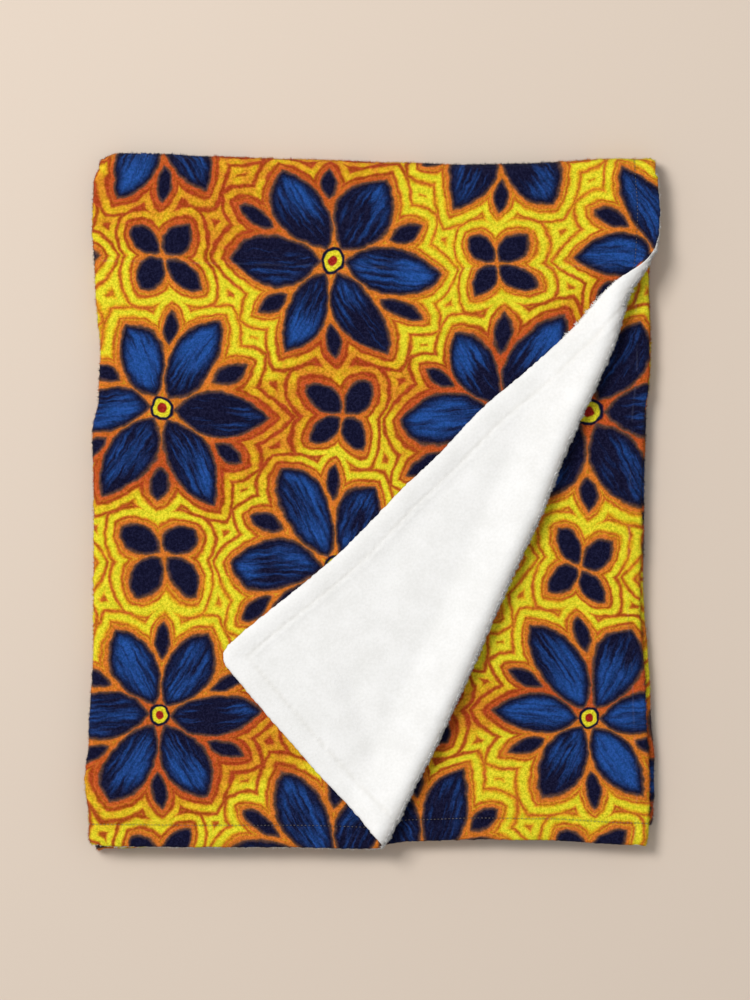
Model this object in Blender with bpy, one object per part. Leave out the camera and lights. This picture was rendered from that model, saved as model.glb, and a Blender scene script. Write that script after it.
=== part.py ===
"""A fleece throw blanket, folded to a neat rectangle with one corner of the top layer turned back.

The blanket is one hemmed cloth. It is folded in three along its length, like a letter, and then in half across
its width, so six layers lie on one another. From the top they are the covering panel, the tucked panel and the
inner panel, and below the half fold the same three in reverse order.

A point of the flat cloth is (u, v). u runs along the length from the covering panel's free hem, and v runs across
the width from the free hem that ends up at the front. The flat cloth is cut along its creases, every point of it
is carried to its folded place, and the sheet is then thickened. Metres, +X right, +Y towards the half fold, +Z up.
"""

import math

import bmesh
import bpy
from mathutils import Vector

CLOTH_LENGTH = 1.524
CLOTH_WIDTH = 1.270
FIELD_THICKNESS = 0.0028
HEM_THICKNESS = 0.0040

# The hem is a soft tube with a sewn groove behind it: distance from the cloth's edge, thickness there.
HEM_PROFILE = (
    (0.0000, 0.0016),
    (0.0014, 0.0031),
    (0.0060, 0.0040),
    (0.0150, 0.0037),
    (0.0205, 0.0024),
    (0.0260, 0.0028),
)

# Rise from one layer to the next, in the field and where the thick hems lie on one another.
FIELD_PITCH = 0.0036
HEM_PITCH = 0.0043
HEM_BUILD_UP = 0.030
HEM_BUILD_UP_END = 0.080

# How far the folded blanket reaches.
COVER_HEM_X = 0.2617
LEFT_REACH_X = -0.2525
RIGHT_REACH_X = 0.2544
FRONT_Y = -0.3148
BACK_REACH_Y = 0.3157

LEFT_FOLD_RADIUS = FIELD_PITCH
RIGHT_FOLD_RADIUS = HEM_PITCH / 2
LEFT_FOLD_X = LEFT_REACH_X + LEFT_FOLD_RADIUS + FIELD_THICKNESS / 2
RIGHT_FOLD_X = RIGHT_REACH_X - RIGHT_FOLD_RADIUS - FIELD_THICKNESS / 2
HALF_FOLD_Y = BACK_REACH_Y - 2.5 * FIELD_PITCH - FIELD_THICKNESS / 2

# Where each panel and fold ends along the flat cloth.
COVER_END = COVER_HEM_X - LEFT_FOLD_X
INNER_START = COVER_END + math.pi * LEFT_FOLD_RADIUS
INNER_END = INNER_START + RIGHT_FOLD_X - LEFT_FOLD_X
TUCKED_START = INNER_END + math.pi * RIGHT_FOLD_RADIUS
UPPER_END = HALF_FOLD_Y - FRONT_Y
LOWER_START = CLOTH_WIDTH - UPPER_END

# How far each edge swells out of the plain rectangle: place along the edge, swell.
LEFT_SWELL = (
    (-0.310, 0.0026),
    (-0.285, 0.0040),
    (-0.257, 0.0073),
    (-0.215, 0.0038),
    (-0.135, -0.0002),
    (-0.020, -0.0008),
    (0.065, 0.0002),
    (0.092, -0.0052),
    (0.135, -0.0068),
    (0.200, -0.0020),
    (0.250, 0.0004),
    (0.305, -0.0010),
)
RIGHT_SWELL = (
    (-0.315, 0.0000),
    (-0.290, 0.0024),
    (-0.255, 0.0026),
    (-0.180, -0.0010),
    (-0.090, -0.0062),
    (0.000, -0.0044),
    (0.070, -0.0022),
    (0.130, 0.0030),
    (0.205, 0.0016),
    (0.270, 0.0044),
    (0.310, 0.0020),
)
FRONT_SWELL = (
    (-0.260, -0.0010),
    (-0.150, 0.0000),
    (0.000, 0.0000),
    (0.040, -0.0050),
    (0.100, -0.0068),
    (0.160, -0.0060),
    (0.240, -0.0020),
    (0.262, -0.0010),
)
BACK_SWELL = (
    (-0.240, 0.0046),
    (-0.205, 0.0044),
    (-0.150, 0.0018),
    (-0.060, -0.0010),
    (0.020, -0.0036),
    (0.090, -0.0056),
    (0.140, -0.0048),
    (0.200, -0.0022),
    (0.262, -0.0032),
)

# Corners of the folded blanket pressed round: side in X, side in Y, radius.
ROUND_CORNERS = (
    (-1, 1, 0.017),
    (1, 1, 0.006),
    (-1, -1, 0.008),
)
CLOTH_CORNER_RADIUS = 0.016

# The lower half lies a little askew under the upper one. Its front edge moves back by the second column at each
# place across, the whole of it moves right, and its covering panel stops short of the fold above it.
LOWER_SHIFT_X = 0.0050
LOWER_FRONT_SHIFT = (
    (-0.255, -0.0060),
    (-0.225, -0.0030),
    (-0.190, 0.0010),
    (0.000, 0.0050),
    (0.255, 0.0180),
)
LOWER_COVER_DRAW = 0.018
LOWER_DRAW_SPAN = 0.12

# The turned-back corner folds over this line, seen from above, and rolls over before it lies down.
FLAP_APEX = Vector((0.2544, 0.2260))
FLAP_TIP = Vector((0.0092, -0.3138))
ROLL_RADIUS = 0.0090
RAMP_ANGLE = math.radians(22)
SETTLE_RADIUS = 0.030
FLAP_REST = 0.0043
FLAP_DRAG = 0.030
FLAP_GATHER = 0.040

# The fold bows: share of the way from apex to tip, how far the roll lies out there, and how far the flap does.
FLAP_BOW = (
    (0.00, 0.0000, 0.0000),
    (0.14, 0.0075, 0.0000),
    (0.28, 0.0105, 0.0005),
    (0.44, 0.0160, 0.0085),
    (0.62, 0.0143, 0.0137),
    (0.80, 0.0125, 0.0070),
    (0.94, 0.0095, 0.0040),
    (1.00, 0.0045, 0.0030),
)
BOW_UNDER = 0.070
BOW_FADE = 0.080

# Facets in each kind of stretch.
PANEL_STEPS = 7
HALF_PANEL_STEPS = 8
FOLD_STEPS = 6
HALF_FOLD_STEPS = 10
ROLL_STEPS = 8
SETTLE_STEPS = 2
SNAP = 0.0003


def ease(share):
    """A smooth step from 0 to 1."""
    share = min(max(share, 0.0), 1.0)
    return share * share * (3 - 2 * share)


def read(rows, place, column=1):
    """A column of a table at a place on its first column, with smooth joins between rows."""
    if place <= rows[0][0]:
        return rows[0][column]
    for row, after in zip(rows, rows[1:]):
        if place <= after[0]:
            share = ease((place - row[0]) / (after[0] - row[0]))
            return row[column] + (after[column] - row[column]) * share
    return rows[-1][column]


def round_corner(in_x, in_y):
    """A place in a corner's square, each share 0 to 1 towards the corner, pulled in to its quarter circle."""
    if in_x <= 0 or in_y <= 0:
        return in_x, in_y
    pull = max(in_x, in_y) / math.hypot(in_x, in_y)
    return in_x * pull, in_y * pull


def round_cloth(u, v):
    """The flat cloth's point with the hemmed corners rounded."""
    half_u, half_v, radius = CLOTH_LENGTH / 2, CLOTH_WIDTH / 2, CLOTH_CORNER_RADIUS
    from_mid_u, from_mid_v = u - half_u, v - half_v
    in_u, in_v = round_corner(1 - (half_u - abs(from_mid_u)) / radius, 1 - (half_v - abs(from_mid_v)) / radius)
    u = half_u + math.copysign(half_u - radius * (1 - in_u), from_mid_u)
    v = half_v + math.copysign(half_v - radius * (1 - in_v), from_mid_v)
    return u, v


def letter_fold(u, v):
    """Where u lies across the folded width, and its level: 0 inner, 1 tucked, 2 covering panel."""
    if u <= COVER_END:
        drawn = LOWER_COVER_DRAW * ease((v - UPPER_END) / LOWER_DRAW_SPAN)
        return COVER_HEM_X - u - drawn * (1 - u / COVER_END), 2.0
    if u <= INNER_START:
        turn = (u - COVER_END) / LEFT_FOLD_RADIUS
        return LEFT_FOLD_X - LEFT_FOLD_RADIUS * math.sin(turn), 1 + math.cos(turn)
    if u <= INNER_END:
        return LEFT_FOLD_X + u - INNER_START, 0.0
    if u <= TUCKED_START:
        turn = (u - INNER_END) / RIGHT_FOLD_RADIUS
        return RIGHT_FOLD_X + RIGHT_FOLD_RADIUS * math.sin(turn), (1 - math.cos(turn)) / 2
    return RIGHT_FOLD_X - (u - TUCKED_START), 1.0


def half_fold(v):
    """Where v lies along the folded length, and how far it has turned: 0 above, pi below."""
    if v <= UPPER_END:
        return FRONT_Y + v, 0.0
    if v <= LOWER_START:
        return HALF_FOLD_Y, math.pi * (v - UPPER_END) / (LOWER_START - UPPER_END)
    return HALF_FOLD_Y - (v - LOWER_START), math.pi


def settle_plan(x, y, turned):
    """The plain rectangle pressed to the blanket's uneven outline; turned is 1 in the lower half."""
    for side_x, side_y, radius in ROUND_CORNERS:
        edge_x = COVER_HEM_X if side_x > 0 else LEFT_FOLD_X
        edge_y = HALF_FOLD_Y if side_y > 0 else FRONT_Y
        in_x, in_y = round_corner(1 - (edge_x - x) * side_x / radius, 1 - (edge_y - y) * side_y / radius)
        x = edge_x - side_x * radius * (1 - in_x)
        y = edge_y - side_y * radius * (1 - in_y)
    to_right = (x - LEFT_REACH_X) / (COVER_HEM_X - LEFT_REACH_X)
    to_back = (y - FRONT_Y) / (HALF_FOLD_Y - FRONT_Y)
    shift_x = to_right ** 2 * read(RIGHT_SWELL, y) - (1 - to_right) ** 2 * read(LEFT_SWELL, y)
    shift_y = to_back ** 2 * read(BACK_SWELL, x) - (1 - to_back) ** 2 * read(FRONT_SWELL, x)
    skew = turned * (1 - to_back)
    shift_x += skew * LOWER_SHIFT_X
    shift_y += skew * read(LOWER_FRONT_SHIFT, x)
    return x + shift_x, y + shift_y


def hem_stack(x, y):
    """1 over the front and right edges, where hems lie on one another, down to 0 in the field."""
    span = HEM_BUILD_UP_END - HEM_BUILD_UP
    front = ease((HEM_BUILD_UP_END - (y - FRONT_Y)) / span)
    right = ease((HEM_BUILD_UP_END - (COVER_HEM_X - x)) / span)
    return 1 - (1 - front) * (1 - right)


def pitch_at(x, y):
    """Rise from one layer to the next at a place, with the field's slow swells."""
    swell = 1 + 0.030 * math.sin(14 * x + 0.7) * math.cos(11 * y - 0.4) + 0.018 * math.sin(23 * y + 9 * x)
    return swell * (FIELD_PITCH + (HEM_PITCH - FIELD_PITCH) * hem_stack(x, y))


def ground_at(x, y):
    """Height of the lowest layer's middle, so that its underside lies on the ground."""
    return (FIELD_THICKNESS + (HEM_THICKNESS - FIELD_THICKNESS) * hem_stack(x, y)) / 2


FLAP_ALONG = (FLAP_TIP - FLAP_APEX).normalized()
FLAP_OUT = Vector((-FLAP_ALONG.y, FLAP_ALONG.x))
FLAP_SPAN = (FLAP_TIP - FLAP_APEX).length
FLAP_START = FLAP_APEX - FLAP_OUT * (ROLL_RADIUS + FIELD_THICKNESS / 2)

# The roll's section is an arc, a ramp down and a gentle arc back to level. These are their lengths.
ROLL_LENGTH = ROLL_RADIUS * (math.pi + RAMP_ANGLE)
RAMP_DROP = ROLL_RADIUS * (1 + math.cos(RAMP_ANGLE)) - SETTLE_RADIUS * (1 - math.cos(RAMP_ANGLE)) - FLAP_REST
RAMP_LENGTH = RAMP_DROP / math.sin(RAMP_ANGLE)
SETTLE_LENGTH = SETTLE_RADIUS * RAMP_ANGLE


def roll_section(distance):
    """Offset across the fold line, and height, of cloth that lies this far past the line when flat."""
    if distance <= 0:
        return distance, 0.0
    turn = min(distance / ROLL_RADIUS, math.pi + RAMP_ANGLE)
    out = ROLL_RADIUS * math.sin(turn)
    up = ROLL_RADIUS * (1 - math.cos(turn))
    ramp = min(max(distance - ROLL_LENGTH, 0.0), RAMP_LENGTH)
    out -= ramp * math.cos(RAMP_ANGLE)
    up -= ramp * math.sin(RAMP_ANGLE)
    settle = min(max(distance - ROLL_LENGTH - RAMP_LENGTH, 0.0), SETTLE_LENGTH) / SETTLE_RADIUS
    out -= SETTLE_RADIUS * (math.sin(RAMP_ANGLE) - math.sin(RAMP_ANGLE - settle))
    up -= SETTLE_RADIUS * (math.cos(RAMP_ANGLE - settle) - math.cos(RAMP_ANGLE))
    out -= max(distance - ROLL_LENGTH - RAMP_LENGTH - SETTLE_LENGTH, 0.0) * (1 - FLAP_GATHER)
    return out, up


def turn_back(x, y):
    """The covering panel's point (x, y) once the corner is turned back: its place, and its height above."""
    offset = Vector((x, y)) - FLAP_START
    distance = offset.dot(FLAP_OUT)
    along = offset.dot(FLAP_ALONG)
    out, up = roll_section(distance)
    past = max(distance - ROLL_LENGTH, 0.0)
    share = along / FLAP_SPAN
    at_roll = read(FLAP_BOW, share) * ease(1 + min(distance, 0.0) / BOW_UNDER)
    bow = at_roll + (read(FLAP_BOW, share, 2) - at_roll) * ease(past / BOW_FADE)
    along += FLAP_DRAG * past
    place = FLAP_START + FLAP_ALONG * along + FLAP_OUT * (out + bow)
    return place.x, place.y, up


def folded_place(u, v):
    """Where the middle of the sheet at (u, v) of the flat cloth lies in the folded blanket."""
    u, v = round_cloth(u, v)
    across, level = letter_fold(u, v)
    along, turn = half_fold(v)
    up = 0.0
    if u <= COVER_END and v <= UPPER_END:
        across, along, up = turn_back(across, along)
    x, y = settle_plan(across, along, (1 - math.cos(turn)) / 2)
    pitch = pitch_at(x, y)
    arm = (0.5 + level) * pitch
    return Vector((x, y + arm * math.sin(turn), ground_at(x, y) + 2.5 * pitch + arm * math.cos(turn) + up))


def spread(start, stop, steps):
    """Evenly spaced values from start to stop, both included."""
    return [start + (stop - start) * step / steps for step in range(steps + 1)]


def crease_lines():
    """The values of u and of v, and the distances past the flap's fold line, at which the flat cloth is cut."""
    hem = [distance for distance, _ in HEM_PROFILE[1:]] + [HEM_BUILD_UP_END * 0.65]
    first = hem[-1]
    lines_u = hem + spread(first, COVER_END, PANEL_STEPS)[1:] + spread(COVER_END, INNER_START, FOLD_STEPS)[1:]
    lines_u += spread(INNER_START, INNER_END, PANEL_STEPS)[1:] + spread(INNER_END, TUCKED_START, FOLD_STEPS)[1:]
    lines_u += spread(TUCKED_START, CLOTH_LENGTH - first, PANEL_STEPS)[1:]
    lines_u += [CLOTH_LENGTH - distance for distance in hem[:-1]]
    lines_v = hem + spread(first, UPPER_END, HALF_PANEL_STEPS)[1:]
    lines_v += spread(UPPER_END, LOWER_START, HALF_FOLD_STEPS)[1:]
    lines_v += spread(LOWER_START, CLOTH_WIDTH - first, HALF_PANEL_STEPS)[1:]
    lines_v += [CLOTH_WIDTH - distance for distance in hem[:-1]]
    roll = [-BOW_UNDER / 2] + spread(0.0, ROLL_LENGTH, ROLL_STEPS)
    roll += spread(ROLL_LENGTH + RAMP_LENGTH, ROLL_LENGTH + RAMP_LENGTH + SETTLE_LENGTH, SETTLE_STEPS)
    return lines_u, lines_v, roll


def flat_cloth():
    """The flat cloth, cut along the lines at which it will bend."""
    cloth = bmesh.new()
    corners = ((0, 0), (0, CLOTH_WIDTH), (CLOTH_LENGTH, CLOTH_WIDTH), (CLOTH_LENGTH, 0))
    cloth.faces.new([cloth.verts.new((u, v, 0)) for u, v in corners])

    def cut(point, direction):
        everything = cloth.verts[:] + cloth.edges[:] + cloth.faces[:]
        bmesh.ops.bisect_plane(cloth, geom=everything, dist=SNAP, plane_co=point, plane_no=direction)

    lines_u, lines_v, roll = crease_lines()
    for u in lines_u:
        cut((u, 0, 0), (1, 0, 0))
    for v in lines_v:
        cut((0, v, 0), (0, 1, 0))
    # Flat (u, v) lies at x = COVER_HEM_X - u, y = FRONT_Y + v in the covering panel.
    across = Vector((-FLAP_OUT.x, FLAP_OUT.y, 0))
    start = Vector((COVER_HEM_X - FLAP_START.x, FLAP_START.y - FRONT_Y, 0))
    for distance in roll:
        cut(start + across * distance, across)
    return cloth


def sheet_thickness(u, v):
    """Thickness of the sheet, which follows the hem's profile near the cloth's edges."""
    edge = min(u, v, CLOTH_LENGTH - u, CLOTH_WIDTH - v)
    return read(HEM_PROFILE, edge)


def fleece(name, colour):
    """A matt brushed fleece."""
    material = bpy.data.materials.new(name)
    material.use_nodes = True
    shader = material.node_tree.nodes["Principled BSDF"]
    shader.inputs["Base Color"].default_value = (*colour, 1)
    shader.inputs["Roughness"].default_value = 0.95
    shader.inputs["Metallic"].default_value = 0.0
    return material


def make_blanket():
    """The folded sheet, thickened to a solid and centred over its own footprint."""
    cloth = flat_cloth()
    weights = []
    for point in cloth.verts:
        u, v, _ = point.co
        weights.append(sheet_thickness(u, v) / HEM_THICKNESS)
        point.co = folded_place(u, v)
    mesh = bpy.data.meshes.new("blanket")
    cloth.to_mesh(mesh)
    cloth.free()
    mesh.materials.append(fleece("printed_face", (0.62, 0.34, 0.05)))
    mesh.materials.append(fleece("white_reverse", (0.88, 0.87, 0.85)))
    mesh.shade_smooth()

    blanket = bpy.data.objects.new("blanket", mesh)
    bpy.context.collection.objects.link(blanket)
    group = blanket.vertex_groups.new(name="thickness")
    for index, weight in enumerate(weights):
        group.add([index], weight, "REPLACE")

    thicken = blanket.modifiers.new("thicken", "SOLIDIFY")
    thicken.thickness = HEM_THICKNESS
    thicken.offset = 0
    thicken.vertex_group = group.name
    thicken.thickness_vertex_group = 0
    thicken.use_even_offset = True
    thicken.material_offset = 1

    solid = blanket.evaluated_get(bpy.context.evaluated_depsgraph_get())
    corners = [Vector(corner) for corner in solid.bound_box]
    low = [min(corner[axis] for corner in corners) for axis in range(3)]
    high = [max(corner[axis] for corner in corners) for axis in range(3)]
    centre = Vector(((low[0] + high[0]) / 2, (low[1] + high[1]) / 2, 0))
    for point in mesh.vertices:
        point.co -= centre
    return blanket


for old in list(bpy.data.objects):
    bpy.data.objects.remove(old)
make_blanket()
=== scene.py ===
"""A printed fleece throw with a white reverse, folded flat, with one corner of its top layer turned back.

Metres, +X right, +Y towards the half fold, +Z up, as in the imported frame.
"""

import math
import random

import bpy
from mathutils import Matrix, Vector, noise


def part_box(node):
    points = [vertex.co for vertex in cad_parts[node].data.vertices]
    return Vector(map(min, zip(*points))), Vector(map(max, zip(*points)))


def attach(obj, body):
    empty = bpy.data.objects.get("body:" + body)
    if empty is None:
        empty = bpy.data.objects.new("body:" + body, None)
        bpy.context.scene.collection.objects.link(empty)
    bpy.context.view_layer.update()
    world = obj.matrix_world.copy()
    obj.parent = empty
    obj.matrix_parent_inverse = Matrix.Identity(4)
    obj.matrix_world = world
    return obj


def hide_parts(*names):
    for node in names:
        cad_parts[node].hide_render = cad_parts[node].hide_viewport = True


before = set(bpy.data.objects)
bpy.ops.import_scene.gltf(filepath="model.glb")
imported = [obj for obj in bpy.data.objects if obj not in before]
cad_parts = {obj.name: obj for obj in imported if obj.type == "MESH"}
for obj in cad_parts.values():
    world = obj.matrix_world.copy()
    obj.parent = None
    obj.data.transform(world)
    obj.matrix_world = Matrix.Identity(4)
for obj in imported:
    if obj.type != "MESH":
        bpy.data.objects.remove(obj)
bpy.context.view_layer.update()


# The camera hangs straight above the folded throw, with +Y up the picture. It stands so far off that the top
# layer and the ground are seen at almost the same scale.
VIEW_CENTRE = (0.0027, 0.0018)
VIEW_HEIGHT = 0.915
CAMERA_HEIGHT = 4.0
TOP_LAYER_HEIGHT = 0.022
FILM_SIZE = 36.0

camera = bpy.data.objects.new("camera", bpy.data.cameras.new("camera"))
camera.data.sensor_width = FILM_SIZE
camera.data.lens = FILM_SIZE * (CAMERA_HEIGHT - TOP_LAYER_HEIGHT) / VIEW_HEIGHT
camera.data.clip_end = 20.0
camera.location = (*VIEW_CENTRE, CAMERA_HEIGHT)
bpy.context.collection.objects.link(camera)
bpy.context.scene.camera = camera


# The fleece throw is one cloth, 1.27 by 1.52 m, cut once and hemmed on its four edges. It is folded in three
# along its length, then in half across its width, and its top layer's near corner is turned back in a roll.
# A point of the flat cloth is (u, v): u from the covering panel's free hem, v from the hem at the front.
CLOTH_LENGTH = 1.524
CLOTH_WIDTH = 1.270
FIELD_THICKNESS = 0.0028
HEM_THICKNESS = 0.0040

# Rise from one layer to the next, in the field and where the thick hems lie on one another.
FIELD_PITCH = 0.0036
HEM_PITCH = 0.0043
HEM_BUILD_UP = 0.030
HEM_BUILD_UP_END = 0.080

# Rises from the middle of the stack, which the half fold turns about, to its innermost and outermost layers.
INNERMOST = 0.5
OUTERMOST = 2.5

# How far the folded throw reaches before its edges swell.
COVER_HEM_X = 0.2617
LEFT_REACH_X = -0.2525
RIGHT_REACH_X = 0.2544
FRONT_Y = -0.3148
BACK_REACH_Y = 0.3157

LEFT_FOLD_RADIUS = FIELD_PITCH
RIGHT_FOLD_RADIUS = HEM_PITCH / 2
LEFT_FOLD_X = LEFT_REACH_X + LEFT_FOLD_RADIUS + FIELD_THICKNESS / 2
RIGHT_FOLD_X = RIGHT_REACH_X - RIGHT_FOLD_RADIUS - FIELD_THICKNESS / 2
HALF_FOLD_Y = BACK_REACH_Y - OUTERMOST * FIELD_PITCH - FIELD_THICKNESS / 2

# Where each panel and fold ends along the flat cloth.
COVER_END = COVER_HEM_X - LEFT_FOLD_X
INNER_START = COVER_END + math.pi * LEFT_FOLD_RADIUS
INNER_END = INNER_START + RIGHT_FOLD_X - LEFT_FOLD_X
TUCKED_START = INNER_END + math.pi * RIGHT_FOLD_RADIUS
UPPER_END = HALF_FOLD_Y - FRONT_Y
LOWER_START = CLOTH_WIDTH - UPPER_END

# How far each edge swells out of the plain rectangle: place along the edge, swell.
LEFT_SWELL = (
    (-0.310, 0.0026),
    (-0.285, 0.0040),
    (-0.257, 0.0073),
    (-0.215, 0.0038),
    (-0.135, -0.0002),
    (-0.020, -0.0008),
    (0.065, 0.0002),
    (0.092, -0.0052),
    (0.135, -0.0068),
    (0.200, -0.0020),
    (0.250, 0.0004),
    (0.305, -0.0010),
)
RIGHT_SWELL = (
    (-0.315, 0.0000),
    (-0.290, 0.0024),
    (-0.255, 0.0026),
    (-0.180, -0.0010),
    (-0.090, -0.0062),
    (0.000, -0.0044),
    (0.070, -0.0022),
    (0.130, 0.0030),
    (0.205, 0.0016),
    (0.270, 0.0044),
    (0.310, 0.0020),
)
FRONT_SWELL = (
    (-0.260, -0.0010),
    (-0.150, 0.0000),
    (0.000, 0.0000),
    (0.040, -0.0050),
    (0.100, -0.0068),
    (0.160, -0.0060),
    (0.240, -0.0020),
    (0.262, -0.0010),
)
BACK_SWELL = (
    (-0.240, 0.0046),
    (-0.205, 0.0044),
    (-0.150, 0.0018),
    (-0.060, -0.0010),
    (0.020, -0.0036),
    (0.090, -0.0056),
    (0.140, -0.0048),
    (0.200, -0.0022),
    (0.262, -0.0032),
)

# Corners of the folded throw pressed round: side in X, side in Y, radius.
ROUND_CORNERS = (
    (-1, 1, 0.017),
    (1, 1, 0.006),
    (-1, -1, 0.008),
)
CLOTH_CORNER_RADIUS = 0.016

# The lower half lies a little askew under the upper one.
LOWER_SHIFT_X = 0.0050
LOWER_FRONT_SHIFT = (
    (-0.255, -0.0060),
    (-0.225, -0.0030),
    (-0.190, 0.0010),
    (0.000, 0.0050),
    (0.255, 0.0180),
)
LOWER_COVER_DRAW = 0.018
LOWER_DRAW_SPAN = 0.12

# The turned-back corner folds over the line from apex to tip, and rolls over before it lies down.
FLAP_APEX = Vector((0.2544, 0.2260))
FLAP_TIP = Vector((0.0092, -0.3138))
ROLL_RADIUS = 0.0090
RAMP_ANGLE = math.radians(22)
SETTLE_RADIUS = 0.030
FLAP_REST = 0.0043
FLAP_DRAG = 0.030
FLAP_GATHER = 0.040

# The fold bows: share of the way from apex to tip, how far out the roll lies there, and how far the flap.
FLAP_BOW = (
    (0.00, 0.0000, 0.0000),
    (0.06, -0.0032, 0.0000),
    (0.16, 0.0030, 0.0000),
    (0.28, 0.0066, 0.0005),
    (0.44, 0.0118, 0.0085),
    (0.62, 0.0120, 0.0137),
    (0.80, 0.0113, 0.0070),
    (0.94, 0.0080, 0.0040),
    (1.00, 0.0038, 0.0030),
)
BOW_UNDER = 0.070
BOW_FADE = 0.080


def ease(share):
    """A smooth step from 0 to 1."""
    share = min(max(share, 0.0), 1.0)
    return share * share * (3 - 2 * share)


def read(rows, place, column=1):
    """A column of a table at a place on its first column, with smooth joins between rows."""
    if place <= rows[0][0]:
        return rows[0][column]
    for row, after in zip(rows, rows[1:]):
        if place <= after[0]:
            share = ease((place - row[0]) / (after[0] - row[0]))
            return row[column] + (after[column] - row[column]) * share
    return rows[-1][column]


def round_corner(in_x, in_y):
    """A place in a corner's square, each share 0 to 1 to the corner, pulled in to its quarter circle."""
    if in_x <= 0 or in_y <= 0:
        return in_x, in_y
    pull = max(in_x, in_y) / math.hypot(in_x, in_y)
    return in_x * pull, in_y * pull


def round_cloth(u, v):
    """The flat cloth's point with the hemmed corners rounded."""
    half_u, half_v, radius = CLOTH_LENGTH / 2, CLOTH_WIDTH / 2, CLOTH_CORNER_RADIUS
    from_mid_u, from_mid_v = u - half_u, v - half_v
    in_u = 1 - (half_u - abs(from_mid_u)) / radius
    in_v = 1 - (half_v - abs(from_mid_v)) / radius
    in_u, in_v = round_corner(in_u, in_v)
    u = half_u + math.copysign(half_u - radius * (1 - in_u), from_mid_u)
    v = half_v + math.copysign(half_v - radius * (1 - in_v), from_mid_v)
    return u, v


def letter_fold(u, v):
    """Where u lies across the folded width, and its level: 0 inner, 1 tucked, 2 covering panel."""
    if u <= COVER_END:
        drawn = LOWER_COVER_DRAW * ease((v - UPPER_END) / LOWER_DRAW_SPAN)
        return COVER_HEM_X - u - drawn * (1 - u / COVER_END), 2.0
    if u <= INNER_START:
        turn = (u - COVER_END) / LEFT_FOLD_RADIUS
        return LEFT_FOLD_X - LEFT_FOLD_RADIUS * math.sin(turn), 1 + math.cos(turn)
    if u <= INNER_END:
        return LEFT_FOLD_X + u - INNER_START, 0.0
    if u <= TUCKED_START:
        turn = (u - INNER_END) / RIGHT_FOLD_RADIUS
        return RIGHT_FOLD_X + RIGHT_FOLD_RADIUS * math.sin(turn), (1 - math.cos(turn)) / 2
    return RIGHT_FOLD_X - (u - TUCKED_START), 1.0


def half_fold(v):
    """Where v lies along the folded length, and how far it has turned: 0 above, pi below."""
    if v <= UPPER_END:
        return FRONT_Y + v, 0.0
    if v <= LOWER_START:
        return HALF_FOLD_Y, math.pi * (v - UPPER_END) / (LOWER_START - UPPER_END)
    return HALF_FOLD_Y - (v - LOWER_START), math.pi


def settle_plan(x, y, turned):
    """The plain rectangle pressed to the throw's uneven outline; turned is 1 in the lower half."""
    for side_x, side_y, radius in ROUND_CORNERS:
        edge_x = COVER_HEM_X if side_x > 0 else LEFT_FOLD_X
        edge_y = HALF_FOLD_Y if side_y > 0 else FRONT_Y
        in_x = 1 - (edge_x - x) * side_x / radius
        in_y = 1 - (edge_y - y) * side_y / radius
        in_x, in_y = round_corner(in_x, in_y)
        x = edge_x - side_x * radius * (1 - in_x)
        y = edge_y - side_y * radius * (1 - in_y)
    to_right = (x - LEFT_REACH_X) / (COVER_HEM_X - LEFT_REACH_X)
    to_back = (y - FRONT_Y) / (HALF_FOLD_Y - FRONT_Y)
    shift_x = to_right ** 2 * read(RIGHT_SWELL, y) - (1 - to_right) ** 2 * read(LEFT_SWELL, y)
    shift_y = to_back ** 2 * read(BACK_SWELL, x) - (1 - to_back) ** 2 * read(FRONT_SWELL, x)
    skew = turned * (1 - to_back)
    shift_x += skew * LOWER_SHIFT_X
    shift_y += skew * read(LOWER_FRONT_SHIFT, x)
    return x + shift_x, y + shift_y


def hem_stack(x, y):
    """1 over the front and right edges, where hems lie on one another, down to 0 in the field."""
    span = HEM_BUILD_UP_END - HEM_BUILD_UP
    front = ease((HEM_BUILD_UP_END - (y - FRONT_Y)) / span)
    right = ease((HEM_BUILD_UP_END - (COVER_HEM_X - x)) / span)
    return 1 - (1 - front) * (1 - right)


# The layers never lie quite level: how much the rise swells in broad waves, and in slanting ones.
BROAD_SWELL = 0.030
SLANT_SWELL = 0.018


def pitch_at(x, y):
    """Rise from one layer to the next at a place, with the field's slow swells."""
    broad = BROAD_SWELL * math.sin(14 * x + 0.7) * math.cos(11 * y - 0.4)
    slant = SLANT_SWELL * math.sin(23 * y + 9 * x)
    return (1 + broad + slant) * (FIELD_PITCH + (HEM_PITCH - FIELD_PITCH) * hem_stack(x, y))


def ground_at(x, y):
    """Height of the lowest layer's middle, so that its underside lies on the ground."""
    return (FIELD_THICKNESS + (HEM_THICKNESS - FIELD_THICKNESS) * hem_stack(x, y)) / 2


FLAP_ALONG = (FLAP_TIP - FLAP_APEX).normalized()
FLAP_OUT = Vector((-FLAP_ALONG.y, FLAP_ALONG.x))
FLAP_SPAN = (FLAP_TIP - FLAP_APEX).length
FLAP_START = FLAP_APEX - FLAP_OUT * (ROLL_RADIUS + FIELD_THICKNESS / 2)

# The roll's section is an arc, a ramp down and a gentle arc back to level. These are their lengths.
ROLL_LENGTH = ROLL_RADIUS * (math.pi + RAMP_ANGLE)
ROLL_HEIGHT = ROLL_RADIUS * (1 + math.cos(RAMP_ANGLE))
SETTLE_DROP = SETTLE_RADIUS * (1 - math.cos(RAMP_ANGLE))
RAMP_DROP = ROLL_HEIGHT - SETTLE_DROP - FLAP_REST
RAMP_LENGTH = RAMP_DROP / math.sin(RAMP_ANGLE)
SETTLE_LENGTH = SETTLE_RADIUS * RAMP_ANGLE


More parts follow.
